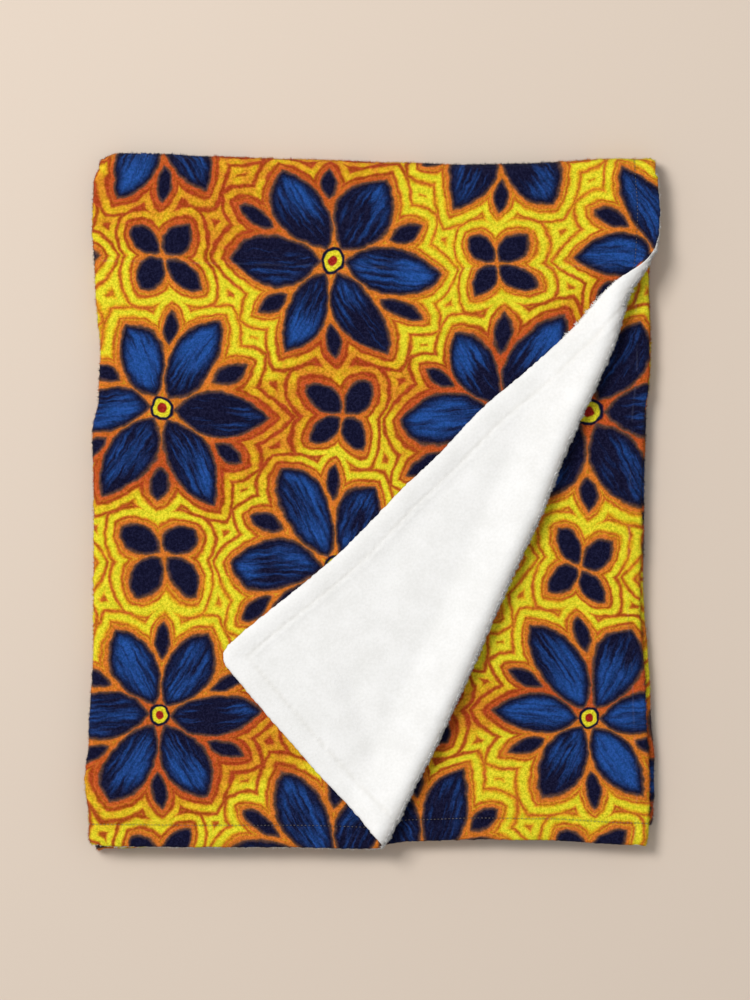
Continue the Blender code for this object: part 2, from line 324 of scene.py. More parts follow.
def roll_section(distance):
    """Offset across the fold line, and height, of cloth that lies this far past the line when flat."""
    if distance <= 0:
        return distance, 0.0
    turn = min(distance / ROLL_RADIUS, math.pi + RAMP_ANGLE)
    out = ROLL_RADIUS * math.sin(turn)
    up = ROLL_RADIUS * (1 - math.cos(turn))
    ramp = min(max(distance - ROLL_LENGTH, 0.0), RAMP_LENGTH)
    out -= ramp * math.cos(RAMP_ANGLE)
    up -= ramp * math.sin(RAMP_ANGLE)
    settle = min(max(distance - ROLL_LENGTH - RAMP_LENGTH, 0.0), SETTLE_LENGTH) / SETTLE_RADIUS
    out -= SETTLE_RADIUS * (math.sin(RAMP_ANGLE) - math.sin(RAMP_ANGLE - settle))
    up -= SETTLE_RADIUS * (math.cos(RAMP_ANGLE - settle) - math.cos(RAMP_ANGLE))
    out -= max(distance - ROLL_LENGTH - RAMP_LENGTH - SETTLE_LENGTH, 0.0) * (1 - FLAP_GATHER)
    return out, up


def past_fold_line(x, y):
    """How far past the corner's fold line the covering panel's flat point (x, y) lies."""
    return (Vector((x, y)) - FLAP_START).dot(FLAP_OUT)


def turn_back(x, y):
    """The covering panel's point (x, y) once the corner is turned back: its place, and its height above."""
    distance = past_fold_line(x, y)
    along = (Vector((x, y)) - FLAP_START).dot(FLAP_ALONG)
    out, up = roll_section(distance)
    past = max(distance - ROLL_LENGTH, 0.0)
    share = along / FLAP_SPAN
    at_roll = read(FLAP_BOW, share) * ease(1 + min(distance, 0.0) / BOW_UNDER)
    bow = at_roll + (read(FLAP_BOW, share, 2) - at_roll) * ease(past / BOW_FADE)
    along += FLAP_DRAG * past
    place = FLAP_START + FLAP_ALONG * along + FLAP_OUT * (out + bow)
    return place.x, place.y, up


# Soft ridges and troughs on the top layer, pressed in when it was packed and handled: the line's two ends,
# its height or depth, and its half width. They die out towards the hems and the folds.
HEM_FADE = 0.030
FOLD_FADE = 0.040
CREASES = (
    ((-0.095, -0.205), (-0.040, -0.268), 0.0014, 0.0090),
    ((-0.014, -0.176), (0.026, -0.272), -0.0034, 0.0105),
    ((-0.044, -0.200), (-0.012, -0.262), 0.0012, 0.0110),
    ((0.008, -0.270), (0.022, -0.300), -0.0022, 0.0070),
    ((0.105, 0.030), (0.150, 0.095), 0.0009, 0.0120),
    ((0.020, -0.060), (0.070, 0.020), -0.0010, 0.0140),
    ((-0.235, 0.190), (-0.060, 0.150), 0.0008, 0.0180),
    ((-0.240, -0.010), (-0.120, -0.060), 0.0009, 0.0200),
    ((-0.210, -0.200), (-0.150, -0.300), 0.0008, 0.0150),
    ((0.020, 0.240), (0.180, 0.190), 0.0008, 0.0180),
)


def crease_height(x, y):
    """How far the soft ridges and troughs lift the top layer here."""
    height = 0.0
    for start, end, rise, half_width in CREASES:
        line_x, line_y = end[0] - start[0], end[1] - start[1]
        length = math.hypot(line_x, line_y)
        along = ((x - start[0]) * line_x + (y - start[1]) * line_y) / length
        across = ((x - start[0]) * line_y - (y - start[1]) * line_x) / length
        beyond = max(-along, along - length, 0.0)
        height += rise * math.exp(-(across / half_width) ** 2 - (beyond / (2 * half_width)) ** 2)
    return height


def on_top(u, v):
    """Whether the flat cloth's point is in the covering panel's upper half."""
    return u <= COVER_END and v <= UPPER_END


def folded_place(u, v):
    """Where the middle of the sheet at (u, v) of the flat cloth lies in the folded throw."""
    u, v = round_cloth(u, v)
    across, level = letter_fold(u, v)
    along, turn = half_fold(v)
    up = 0.0
    if on_top(u, v):
        across, along, up = turn_back(across, along)
    x, y = settle_plan(across, along, (1 - math.cos(turn)) / 2)
    pitch = pitch_at(x, y)
    arm = (INNERMOST + level) * pitch
    if on_top(u, v):
        inside = ease(u / HEM_FADE) * ease(v / HEM_FADE) * ease((COVER_END - u) / FOLD_FADE)
        inside *= ease((UPPER_END - v) / FOLD_FADE)
        up += inside * crease_height(x, y)
    height = ground_at(x, y) + OUTERMOST * pitch + arm * math.cos(turn) + up
    return Vector((x, y + arm * math.sin(turn), height))


# The hem is turned in and sewn: a puffy tube, a groove at the stitches, and the low ridge of the raw edge.
# Each row is a distance from the cloth's edge, the thickness there in the stack, and on the free top layer.
HEM_SECTION = (
    (0.0000, 0.0016, 0.0020),
    (0.0017, 0.0032, 0.0038),
    (0.0050, 0.0040, 0.0050),
    (0.0090, 0.0041, 0.0053),
    (0.0135, 0.0037, 0.0047),
    (0.0170, 0.0030, 0.0034),
    (0.0202, 0.0022, 0.0020),
    (0.0232, 0.0028, 0.0030),
    (0.0255, 0.0030, 0.0034),
    (0.0280, 0.0028, 0.0028),
)
HEM_BAND = 0.028
STITCH_LINE = 0.0200
THICKEST = 0.0056

# Along the hem the tube is plumper in places, and the seam puckers between its stitches.
TUBE_MIDDLE = 0.0095
TUBE_SPREAD = 0.0060
PLUMP_HEIGHT = 0.00016
SEAM_MIDDLE = 0.0195
SEAM_SPREAD = 0.0042
PUCKER_HEIGHT = 0.00014
PUCKER_LENGTH = 0.0124


def from_cut_edge(u, v):
    """How far (u, v) lies inside the cloth's nearest edge."""
    return min(u, v, CLOTH_LENGTH - u, CLOTH_WIDTH - v)


def sheet_thickness(u, v):
    """Thickness of the sheet. By the cloth's edges it follows the hem's section, plump and puckered."""
    edge = from_cut_edge(u, v)
    if edge > HEM_BAND:
        return FIELD_THICKNESS
    along = v if edge in (u, CLOTH_LENGTH - u) else u
    wander = 1.1 * math.sin(along * 83) + 0.7 * math.sin(along * 191 + 1)
    pucker = math.sin(2 * math.pi * along / PUCKER_LENGTH + 2.2 * wander)
    plump = math.sin(along * 148 + 2 * math.sin(along * 37)) + 0.6 * math.sin(along * 331)
    tube = math.exp(-((edge - TUBE_MIDDLE) / TUBE_SPREAD) ** 2)
    seam = math.exp(-((edge - SEAM_MIDDLE) / SEAM_SPREAD) ** 2)
    uneven = PLUMP_HEIGHT * plump * tube + PUCKER_HEIGHT * pucker * seam
    return read(HEM_SECTION, edge, 2 if on_top(u, v) else 1) + uneven


# The mesh's cells. Each stretch of the cloth has its start, its end, how many cells it is cut into, and into
# how many parts such a cell is cut again where it outlines the throw. A cell that only shows has half as many
# parts, and cloth under the top layer shows from a little before the fold line.
LENGTH_STRETCHES = (
    (0.0, STITCH_LINE, 3, 8),
    (STITCH_LINE, HEM_BAND, 1, 12),
    (HEM_BAND, COVER_END, 26, 8),
    (COVER_END, INNER_START, 1, 12),
    (INNER_START, INNER_END, 26, 8),
    (INNER_END, TUCKED_START, 1, 12),
    (TUCKED_START, CLOTH_LENGTH - HEM_BAND, 26, 8),
    (CLOTH_LENGTH - HEM_BAND, CLOTH_LENGTH - STITCH_LINE, 1, 12),
    (CLOTH_LENGTH - STITCH_LINE, CLOTH_LENGTH, 3, 8),
)
WIDTH_STRETCHES = (
    (0.0, STITCH_LINE, 3, 8),
    (STITCH_LINE, HEM_BAND, 1, 12),
    (HEM_BAND, UPPER_END, 32, 8),
    (UPPER_END, LOWER_START, 2, 16),
    (LOWER_START, CLOTH_WIDTH - HEM_BAND, 32, 8),
    (CLOTH_WIDTH - HEM_BAND, CLOTH_WIDTH - STITCH_LINE, 1, 12),
    (CLOTH_WIDTH - STITCH_LINE, CLOTH_WIDTH, 3, 8),
)
SHOWN_PAST_FOLD = -0.030

# The roll's outline lies this far past the fold line, and a cut edge's outline this far in from the edge.
ROLL_OUTLINE = (0.000, 0.032)
EDGE_OUTLINE = 0.0067


def cells_of(stretches):
    """Every cell's parts, and the place of every fine line."""
    parts, lines = [], [0.0]
    for start, end, cells, cut in stretches:
        parts += [cut] * cells
        lines += [start + (end - start) * step / (cells * cut) for step in range(1, cells * cut + 1)]
    return parts, lines


def fineness(u, v):
    """How fine the cell about (u, v) is cut along u and v: 0 whole, 1 where it shows, 2 at an outline."""
    in_fold_u = COVER_END < u < INNER_START or INNER_END < u < TUCKED_START
    in_fold_v = UPPER_END < v < LOWER_START
    in_hem_u = u < HEM_BAND
    in_hem_v = v < HEM_BAND or v > CLOTH_WIDTH - HEM_BAND
    level_u, level_v = int(in_fold_u or in_hem_u), int(in_fold_v or in_hem_v)
    if v < LOWER_START and (u < INNER_START or in_fold_u):
        level_u, level_v = 1, 1
    if on_top(u, v) and ROLL_OUTLINE[0] < past_fold_line(COVER_HEM_X - u, FRONT_Y + v) < ROLL_OUTLINE[1]:
        return 2, 2
    if u > TUCKED_START and v < UPPER_END:
        if past_fold_line(RIGHT_FOLD_X - (u - TUCKED_START), FRONT_Y + v) > SHOWN_PAST_FOLD:
            level_u, level_v = 1, 1
    if (v < EDGE_OUTLINE and level_u) or (in_fold_v and u < INNER_START):
        level_u = 2
    if (u < EDGE_OUTLINE and level_v) or (in_fold_u and v < LOWER_START):
        level_v = 2
    return level_u, level_v


def flat_cells():
    """Corner points (u, v) of the flat cloth's mesh, and its faces, finer where the cloth shows."""
    parts_u, lines_u = cells_of(LENGTH_STRETCHES)
    parts_v, lines_v = cells_of(WIDTH_STRETCHES)
    starts_u = [sum(parts_u[:cell]) for cell in range(len(parts_u) + 1)]
    starts_v = [sum(parts_v[:cell]) for cell in range(len(parts_v) + 1)]
    boxes = []
    for left, right in zip(starts_u, starts_u[1:]):
        for low, high in zip(starts_v, starts_v[1:]):
            middle_u = (lines_u[left] + lines_u[right]) / 2
            middle_v = (lines_v[low] + lines_v[high]) / 2
            level_u, level_v = fineness(middle_u, middle_v)
            step_u = (right - left, 2, 1)[level_u]
            step_v = (high - low, 2, 1)[level_v]
            for i in range(left, right, step_u):
                for j in range(low, high, step_v):
                    boxes.append((i, j, i + step_u, j + step_v))
    used = set()
    for left, low, right, high in boxes:
        used.update(((left, low), (right, low), (right, high), (left, high)))
    numbers = {place: number for number, place in enumerate(sorted(used))}
    faces = []
    for left, low, right, high in boxes:
        ring = [(i, low) for i in range(left, right)]
        ring += [(right, j) for j in range(low, high)]
        ring += [(i, high) for i in range(right, left, -1)]
        ring += [(left, j) for j in range(high, low, -1)]
        faces.append([numbers[place] for place in ring if place in numbers])
    points = [(lines_u[i], lines_v[j]) for i, j in sorted(used)]
    return points, faces


cloth_points, cloth_faces = flat_cells()
throw_mesh = bpy.data.meshes.new("fleece_throw")
throw_mesh.from_pydata([folded_place(u, v) for u, v in cloth_points], [], cloth_faces)
throw_mesh.flip_normals()
throw_mesh.shade_smooth()
flat_map = throw_mesh.uv_layers.new(name="FlatCloth")
for corner in throw_mesh.loops:
    flat_map.data[corner.index].uv = cloth_points[corner.vertex_index]

throw = bpy.data.objects.new("fleece_throw", throw_mesh)
bpy.context.collection.objects.link(throw)
thickness_group = throw.vertex_groups.new(name="thickness")
for number, (u, v) in enumerate(cloth_points):
    thickness_group.add([number], sheet_thickness(u, v) / THICKEST, "REPLACE")


# The printed face is polyester fleece, brushed to a short soft pile and printed with flowers in a half-drop
# repeat. The ink is densest in the dark petals and bleeds at its edges. Painted shade in the pile's hollows
# and a faint painted highlight on its tops break it into specks.
# Sizes of the print are in millimetres on the flat cloth.
def shade(red, green, blue):
    """A colour from its 0 to 255 values, as a shader takes it."""
    values = [value / 255 for value in (red, green, blue)]
    linear = [value / 12.92 if value <= 0.04045 else ((value + 0.055) / 1.055) ** 2.4 for value in values]
    return (*linear, 1)


class Paint:
    """A socket of a material's nodes. Arithmetic on it adds Math nodes, and node() adds any other kind."""

    def __init__(self, tree, source=None):
        self.tree = tree
        self.source = source

    def node(self, kind, settings, sockets, output=0):
        """Adds a node with its settings, then its sockets' values or links, and gives one of its outputs."""
        made = self.tree.nodes.new("ShaderNode" + kind)
        for name, value in settings.items():
            setattr(made, name, value)
        for name, value in sockets.items():
            if isinstance(value, Paint):
                self.tree.links.new(value.source, made.inputs[name])
            else:
                made.inputs[name].default_value = value
        return Paint(self.tree, made.outputs[output])

    def maths(self, operation, *values):
        """A Math node on some values."""
        return self.node("Math", {"operation": operation}, dict(enumerate(values)))

    def vector(self, operation, *values, output=0):
        """A Vector Math node on some values."""
        return self.node("VectorMath", {"operation": operation}, dict(enumerate(values)), output)

    def __add__(self, other):
        return self.maths("ADD", self, other)

    __radd__ = __add__

    def __sub__(self, other):
        return self.maths("SUBTRACT", self, other)

    def __rsub__(self, other):
        return self.maths("SUBTRACT", other, self)

    def __mul__(self, other):
        return self.maths("MULTIPLY", self, other)

    __rmul__ = __mul__

    def __truediv__(self, other):
        return self.maths("DIVIDE", self, other)

    def __abs__(self):
        return self.maths("ABSOLUTE", self)

    def rise(self, start, end):
        """0 below start and 1 above end, with a smooth step between."""
        sockets = {"Value": self, "From Min": start, "From Max": end}
        return self.node("MapRange", {"interpolation_type": "SMOOTHSTEP"}, sockets)

    def blend(self, first, second):
        """The colour that goes from first to second as this goes from 0 to 1."""
        return self.node("Mix", {"data_type": "RGBA"}, {0: self, 6: first, 7: second}, 2)

    def noise(self, place, size, detail=1.0, output=0):
        """Soft noise with patches of this size, in the units of place."""
        sockets = {"Vector": place, "Scale": 1 / size, "Detail": detail}
        return self.node("TexNoise", {}, sockets, output)

    def part(self, axis):
        """One coordinate of a place: 0, 1 or 2."""
        return self.node("SeparateXYZ", {}, {0: self}, axis)


NAVY = shade(9, 8, 44)
BLUE = shade(34, 84, 168)
BLEED = shade(104, 70, 52)
ORANGE = shade(226, 122, 34)
RUST = shade(196, 66, 26)
RED = shade(168, 30, 14)
YELLOW = shade(243, 225, 40)
AMBER = shade(236, 168, 16)
HOLLOW_SHADE_TINT = shade(192, 202, 190)
PALE_TINT = shade(150, 160, 200)
SEAM_SHADE = shade(120, 112, 110)

# The flowers' grid, and each petal's start and end from its flower's centre, and its half width.
FLOWER_GRID = (312.0, 276.0)
PETALS = 6
PETAL = (13.0, 93.0, 20.5)
BUD = (58.0, 87.0, 6.4)
SPRIG_PETALS = 4
SPRIG_PETAL = (5.0, 39.0, 10.5)
WHOLE_SECTORS = 10

# The coloured rim round each petal, and the pitch of the lines that echo it over the ground.
RIM = 5.6
ECHO_PITCH = 9.6

# Two lines where the cloth was pressed when it was first folded: v of one, u of the other.
PRESSED_ACROSS = 533.0
PRESSED_ALONG = 1000 * TUCKED_START + 8.0

# The pile's relief, in metres: sizes of its clumps, its fibres and the puckers by the seam, then the puckers'
# depth, and the depth of clumps and of fibres on each face.
CLUMP = 0.0024
FIBRE = 0.0009
SEAM_PUCKER = 0.0048
SEAM_PUCKER_DEPTH = 0.0007
PRINTED_RELIEF = (0.00050, 0.00028)
WHITE_RELIEF = (0.00019, 0.00010)

# Brushed fibre barely shines. What sheen it has is broad, and strongest on the white face.
SHINE = 0.08
SHEEN_ROUGHNESS = 0.6
PRINTED_SHEEN = 0.02
WHITE_SHEEN = 0.15


def petal_frame(paint, place, shift, petals, turn):
    """Flowers in a grid moved by shift: lengths along and across the nearest petal, and from the centre."""
    cell = paint.vector("DIVIDE", place, (*FLOWER_GRID, 1.0))
    cell = paint.vector("FRACTION", paint.vector("ADD", cell, (*shift, 0.0)))
    cell = paint.vector("SUBTRACT", cell, (0.5, 0.5, 0.0))
    local = paint.vector("MULTIPLY", cell, (*FLOWER_GRID, 0.0))
    radius = paint.vector("LENGTH", local, output=1)
    sector = 2 * math.pi / petals
    angle = paint.maths("ARCTAN2", local.part(1), local.part(0)) / sector + (turn + WHOLE_SECTORS)
    angle = (paint.maths("FRACT", angle) - 0.5) * sector
    return radius * paint.maths("COSINE", angle), radius * paint.maths("SINE", angle), radius


def petal_distance(along, across, petal):
    """Distance outside a pointed petal given by its start, end and half width; negative inside."""
    start, end, half_width = petal
    half_length = (end - start) / 2
    radius = (half_length ** 2 + half_width ** 2) / (2 * half_width)
    in_x = along - (start + half_length)
    in_y = abs(across) + (radius - half_width)
    return in_x.maths("SQRT", in_x * in_x + in_y * in_y) - radius


def nearest(distances):
    """The least of several distances."""
    least = distances[0]
    for distance in distances[1:]:
        least = least.maths("MINIMUM", least, distance)
    return least


def new_finish(name, sheen):
    """A soft material, its Paint and shader, its place in metres, and its flat place in millimetres."""
    material = bpy.data.materials.new(name)
    material.use_nodes = True
    surface = material.node_tree.nodes["Principled BSDF"]
    surface.inputs["Specular IOR Level"].default_value = SHINE
    surface.inputs["Sheen Weight"].default_value = sheen
    surface.inputs["Sheen Roughness"].default_value = SHEEN_ROUGHNESS
    paint = Paint(material.node_tree)
    flat = paint.vector("MULTIPLY", paint.node("UVMap", {"uv_map": "FlatCloth"}, {}), (1000.0, 1000.0, 0.0))
    return material, paint, surface, paint.node("TexCoord", {}, {}, 3), flat


def connect(paint, surface, **finish):
    """Links values to the surface shader's sockets."""
    for name, value in finish.items():
        paint.tree.links.new(value.source, surface.inputs[name.replace("_", " ").title()])


def from_edge(flat):
    """Distance from the cloth's nearest edge, in millimetres."""
    u, v = flat.part(0), flat.part(1)
    return nearest([u, v, 1000 * CLOTH_LENGTH - u, 1000 * CLOTH_WIDTH - v])


def pile_relief(paint, spot, flat, clump_depth, fibre_depth):
    """The brushed pile's relief: soft clumps, finer fibres on them, and small puckers along the seam."""
    clumps = paint.noise(spot, CLUMP, 1.0)
    fibres = paint.noise(spot, FIBRE, 2.0)
    by_seam = 1 - abs(from_edge(flat) - 1000 * STITCH_LINE).rise(0.5, 7.0)
    puckers = by_seam * paint.noise(spot, SEAM_PUCKER, 0.0)
    height = clumps * clump_depth + fibres * fibre_depth + puckers * SEAM_PUCKER_DEPTH
    return paint.node("Bump", {}, {"Height": height, "Distance": 1.0, "Strength": 1.0}), clumps, fibres


def printed_finish():
    """The printed face's finish."""
    material, paint, surface, spot, flat = new_finish("printed_fleece", PRINTED_SHEEN)

    # The drawing wanders over patches of 90 mm, and wobbles over patches of 9 mm.
    wander = paint.vector("MULTIPLY", paint.noise(flat, 90.0, 0.0, output=1), (30.0, 30.0, 0.0))
    wobble = paint.vector("MULTIPLY", paint.noise(flat, 9.0, 1.0, output=1), (4.2, 4.2, 0.0))
    place = paint.vector("ADD", paint.vector("ADD", flat, wander), wobble)

    # The flowers stand in two grids, and small four-petalled sprigs in the gaps between them.
    flowers = [petal_frame(paint, place, shift, PETALS, 0.5) for shift in ((0.0, 0.0), (0.5, 0.5))]
    between = [petal_frame(paint, place, shift, PETALS, 0.0) for shift in ((0.0, 0.0), (0.5, 0.5))]
    sprigs = [petal_frame(paint, place, shift, SPRIG_PETALS, 0.0) for shift in ((0.5, 0.0), (0.0, 0.5))]
    petals = [petal_distance(along, across, PETAL) for along, across, _ in flowers]
    buds = [petal_distance(along, across, BUD) for along, across, _ in between]
    leaves = [petal_distance(along, across, SPRIG_PETAL) for along, across, _ in sprigs]
    outside = nearest(petals + buds + leaves)
    from_centre = nearest([radius for _, _, radius in flowers])

    # The ground: yellow, warmer in wavy bands, with red lines that echo the flowers' outline.
    band = (flat.part(1) + flat.part(0) * 0.3 + paint.noise(flat, 120.0, 1.0) * 230.0) / 42.0
    warm = paint.maths("SINE", band) * 0.5 + 0.5
    uneven = paint.noise(flat, 13.0, 2.0)
    phase = paint.maths("FRACT", (outside - RIM - 1.4) / ECHO_PITCH + 0.5)
    from_line = abs(phase - 0.5) * ECHO_PITCH
    ground = (from_line + uneven * 3.0 - 1.5).rise(0.6, 4.0).blend(AMBER, YELLOW)
    ground = ((warm + uneven * 0.6).rise(0.85, 1.25) * 0.8).blend(ground, AMBER)
    ground = ((warm + uneven * 0.8).rise(1.15, 1.5) * 0.7).blend(ground, ORANGE)
    line_width = uneven * 2.4 + warm * 1.3 - 0.6
    line = 1 - (from_line - line_width).rise(-1.2, 1.5)
    ground = (line * 0.84).blend(ground, warm.rise(0.2, 0.8).blend(RUST, RED))

    # The rim round each petal: a brown bleed, then orange, reddened in the warm bands.
    rim = (warm.rise(0.5, 1.0) * 0.75).blend(ORANGE, RUST)
    rim = outside.rise(0.8, 3.2).blend(BLEED, rim)
    ground = (outside + uneven * 2.4 - 1.2).rise(RIM - 1.2, RIM + 0.8).blend(rim, ground)

    # The petals: navy, with blue streaks along them where the ink is thinner.
    second = paint.maths("GREATER_THAN", petals[0] - petals[1], 0.0)
    along = flowers[0][0] + second * (flowers[1][0] - flowers[0][0])
    across = flowers[0][1] + second * (flowers[1][1] - flowers[0][1])
    lengthwise = paint.node("CombineXYZ", {}, {0: along / 34.0, 1: across / 3.4, 2: flat.part(0) / 90.0})
    streak = paint.noise(lengthwise, 1.0, 2.0)
    tone = paint.noise(flat, 85.0, 1.0)
    in_petal = (nearest(buds + leaves) - nearest(petals)).rise(0.0, 2.0)
    blue = (streak + tone * 1.3 + along * 0.0022).rise(1.08, 1.60) * (0 - outside).rise(0.8, 9.0) * in_petal
    petal = (blue * 0.92).blend(NAVY, BLUE)
    colour = outside.rise(-1.8, 1.8).blend(petal, ground)

    # Each flower's eye: a red dot, a yellow ring and a navy one.
    eye = from_centre.rise(3.6, 5.2).blend(RED, YELLOW)
    eye = from_centre.rise(7.6, 9.0).blend(eye, NAVY)
    colour = from_centre.rise(10.4, 12.0).blend(eye, colour)

    # The print is dimmed and greyed where the pile's relief is low, as painted shade in its hollows, and is a
    # touch paler on its tops, as a painted highlight. It is paler along the pressed lines, and painted shade
    # darkens it in the seam's groove.
    normal, clumps, fibres = pile_relief(paint, spot, flat, *PRINTED_RELIEF)
    pile_height = (fibres * 0.6 + clumps * 0.4).rise(0.36, 0.64)
    multiply = {"data_type": "RGBA", "blend_type": "MULTIPLY"}
    # Painted shade: multiplied darker and greyer where the pile is low; a faint painted highlight where it is
    # high.
    hollow_shade = paint.node("Mix", multiply, {0: 1.0, 6: colour, 7: HOLLOW_SHADE_TINT}, 2)
    colour = pile_height.blend(hollow_shade, (pile_height * 0.025).blend(colour, PALE_TINT))
    # Paler along the two pressed lines, more in some patches than in others.
    across_line = abs(flat.part(1) - PRESSED_ACROSS).rise(0.4, 1.5)
    along_line = abs(flat.part(0) - PRESSED_ALONG).rise(0.4, 1.3)
    paler_along_lines = (1 - nearest([across_line, along_line])) * uneven.rise(0.42, 0.6)
    colour = (paler_along_lines * 0.04).blend(colour, PALE_TINT)
    # Painted shade: the print is multiplied darker in a narrow band along the seam's groove.
    seam = 1 - abs(from_edge(flat) - 1000 * STITCH_LINE).rise(0.3, 1.6)
    colour = paint.node("Mix", multiply, {0: seam * 0.35, 6: colour, 7: SEAM_SHADE}, 2)
    connect(paint, surface, base_color=colour, roughness=pile_height * -0.08 + 0.95, normal=normal)
    return material


# The reverse is left white. Painted shade makes it a little greyer between its clumps and in the
# hem's groove, and its tone varies in soft patches.
WHITE_SHADE_AND_MOTTLE = shade(229, 228, 225)
WHITE_HIGH = shade(239, 238, 236)
GROOVE_SHADE = shade(222, 220, 215)


def white_finish():
    """The white reverse's finish."""
    material, paint, surface, spot, flat = new_finish("white_reverse", WHITE_SHEEN)
    normal, clumps, fibres = pile_relief(paint, spot, flat, *WHITE_RELIEF)
    cloudy = paint.noise(spot, 0.026, 2.0)
    # Painted shade: greyer where the clumps are low. The soft patches vary its tone as well.
    colour = (clumps * 0.5 + cloudy * 0.7).rise(0.35, 0.85).blend(WHITE_SHADE_AND_MOTTLE, WHITE_HIGH)
    # Painted shade in the hem's groove, broken up in small patches.
    shade_in_groove = 1 - abs(from_edge(flat) - 1000 * STITCH_LINE).rise(0.2, 4.2)
    shade_in_groove = shade_in_groove * paint.noise(spot, 0.009, 1.0).rise(0.15, 0.6) * 0.45
    colour = shade_in_groove.blend(colour, GROOVE_SHADE)
    connect(paint, surface, base_color=colour, roughness=fibres * 0.1 + 0.88, normal=normal)
    return material


printed_fleece = printed_finish()
white_reverse = white_finish()
throw_mesh.materials.append(printed_fleece)
throw_mesh.materials.append(white_reverse)

# The sheet is given its thickness to both sides of its middle: the print on one face, white on the other.
thicken = throw.modifiers.new("thicken", "SOLIDIFY")
thicken.thickness = THICKEST
thicken.offset = 0
thicken.vertex_group = thickness_group.name
thicken.thickness_vertex_group = 0
thicken.use_even_offset = True
thicken.material_offset = 1
thicken.material_offset_rim = 0
thick_mesh = bpy.data.meshes.new_from_object(throw.evaluated_get(bpy.context.evaluated_depsgraph_get()))
throw.modifiers.clear()
throw.data = thick_mesh

# Where the cloth turns or ends, its pile stands in small rounded clumps.
BUMP_PITCH = 0.0050
BUMP_HEIGHT = 0.00165
FINE_BUMPS = 0.4
BUMP_MIDDLE = 0.25
LEAST_HEIGHT = -0.0002

# Clumps begin where the cloth's facing leaves the upright by this cosine, and are whole this much further on.
CLUMPS_BEGIN = 0.93
CLUMPS_GROW = 0.45
faced = [(point.co.copy(), point.normal.copy()) for point in thick_mesh.vertices]
for point, (place, facing) in zip(thick_mesh.vertices, faced):
    steep = ease((CLUMPS_BEGIN - abs(facing.z)) / CLUMPS_GROW)
    if steep > 0:
        fine = abs(noise.noise(place / (FINE_BUMPS * BUMP_PITCH)))
        clump = abs(noise.noise(place / BUMP_PITCH)) + FINE_BUMPS * fine
        place += facing * (steep * BUMP_HEIGHT * (clump - BUMP_MIDDLE))
        place.z = max(place.z, LEAST_HEIGHT)
        point.co = place

# The cloth is drawn flat, once for each face, with a narrow margin.
MAP_MARGIN = 0.002


def lay_out(mesh, is_printed, spread=None):
    """Gives a mesh its drawing map: the printed face in the lower half, the reverse in the upper."""
    layer = mesh.uv_layers.new(name="OFBake")
    flat_places = mesh.uv_layers["FlatCloth"]
    for face in mesh.polygons:
        base = MAP_MARGIN if is_printed(face) else 0.5 + MAP_MARGIN
        for turn, corner in enumerate(face.loop_indices):
            u, v = flat_places.data[corner].uv
            if spread:
                u, v = u + spread[turn % 3][0], v + spread[turn % 3][1]
            high = base + (0.5 - 2 * MAP_MARGIN) * min(max(v / CLOTH_WIDTH, 0.0), 1.0)
            layer.data[corner].uv = (min(max(u / CLOTH_LENGTH, 0.0), 1.0), high)


lay_out(thick_mesh, lambda face: face.material_index == 0)


def flat_middle(face):
    """The flat cloth's point under the middle of one of the thick mesh's faces."""
    places = thick_mesh.uv_layers["FlatCloth"].data
    corners = [places[corner].uv for corner in face.loop_indices]
    count = len(corners)
    return sum(place.x for place in corners) / count, sum(place.y for place in corners) / count


# The throw is centred over its own footprint, as its solid is.
low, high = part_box("blanket")
reach_x = [point.co.x for point in thick_mesh.vertices]
reach_y = [point.co.y for point in thick_mesh.vertices]
CENTRE = Vector((
    (min(reach_x) + max(reach_x) - low.x - high.x) / 2,
    (min(reach_y) + max(reach_y) - low.y - high.y) / 2,
    0,
))
for point in thick_mesh.vertices:
    point.co -= CENTRE
surface_points = [point.co.copy() for point in thick_mesh.vertices]

# The two faces meet at the cloth's cut edge. The turned-back corner's edge shows white.
RIM_REACH = 0.0002
for face in thick_mesh.polygons:
    middle = flat_middle(face)
    if from_cut_edge(*middle) < RIM_REACH and on_top(*middle):
        if past_fold_line(COVER_HEM_X - middle[0], FRONT_Y + middle[1]) > ROLL_LENGTH:
            face.material_index = 1

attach(throw, "root")
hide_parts("blanket")


# The hems are sewn with polyester thread: short lock stitches all round the cloth, half sunk in the seam's
# groove on both faces. Each stitch is a small twisted lozenge that dives into the cloth at its two ends.
STITCH_PITCH = 0.0033
STITCH_LENGTH = 0.0026
THREAD_RADIUS = 0.00028
THREAD_SIDES = 4
THREAD_SHEEN = 0.1
THREAD_TWIST = 0.0005
THREAD_SUNK = {1: 0.00014, -1: 0.00020}

# A stitch's rings: place along it, girth, and height over the cloth, the last two in radii of the thread.
STITCH_RINGS = ((-0.5, 0.30, -1.4), (-0.22, 1.0, 0.3), (0.22, 1.0, 0.3), (0.5, 0.30, -1.4))

# Colours of the twisted thread on the white face, and on the print, where ink and pile dull it.
WHITE_THREAD = (shade(216, 213, 207), shade(240, 238, 233))
DULLED_THREAD = (shade(92, 84, 82), shade(138, 128, 120))


def skin(u, v, side, reach=0.0004):
    """A point of the cloth's surface and the way it faces: side 1 is the printed face, -1 the reverse."""
    along_u = folded_place(u + reach, v) - folded_place(u - reach, v)
    along_v = folded_place(u, v + reach) - folded_place(u, v - reach)
    facing = along_v.cross(along_u).normalized() * side
    return folded_place(u, v) - CENTRE + facing * sheet_thickness(u, v) / 2, facing


def seam_stretches():
    """The four straight seams of the flat cloth: start, end."""
    low_u, high_u = STITCH_LINE, CLOTH_LENGTH - STITCH_LINE
    low_v, high_v = STITCH_LINE, CLOTH_WIDTH - STITCH_LINE
    ring = [(low_u, low_v), (high_u, low_v), (high_u, high_v), (low_u, high_v)]
    return list(zip(ring, ring[1:] + ring[:1]))


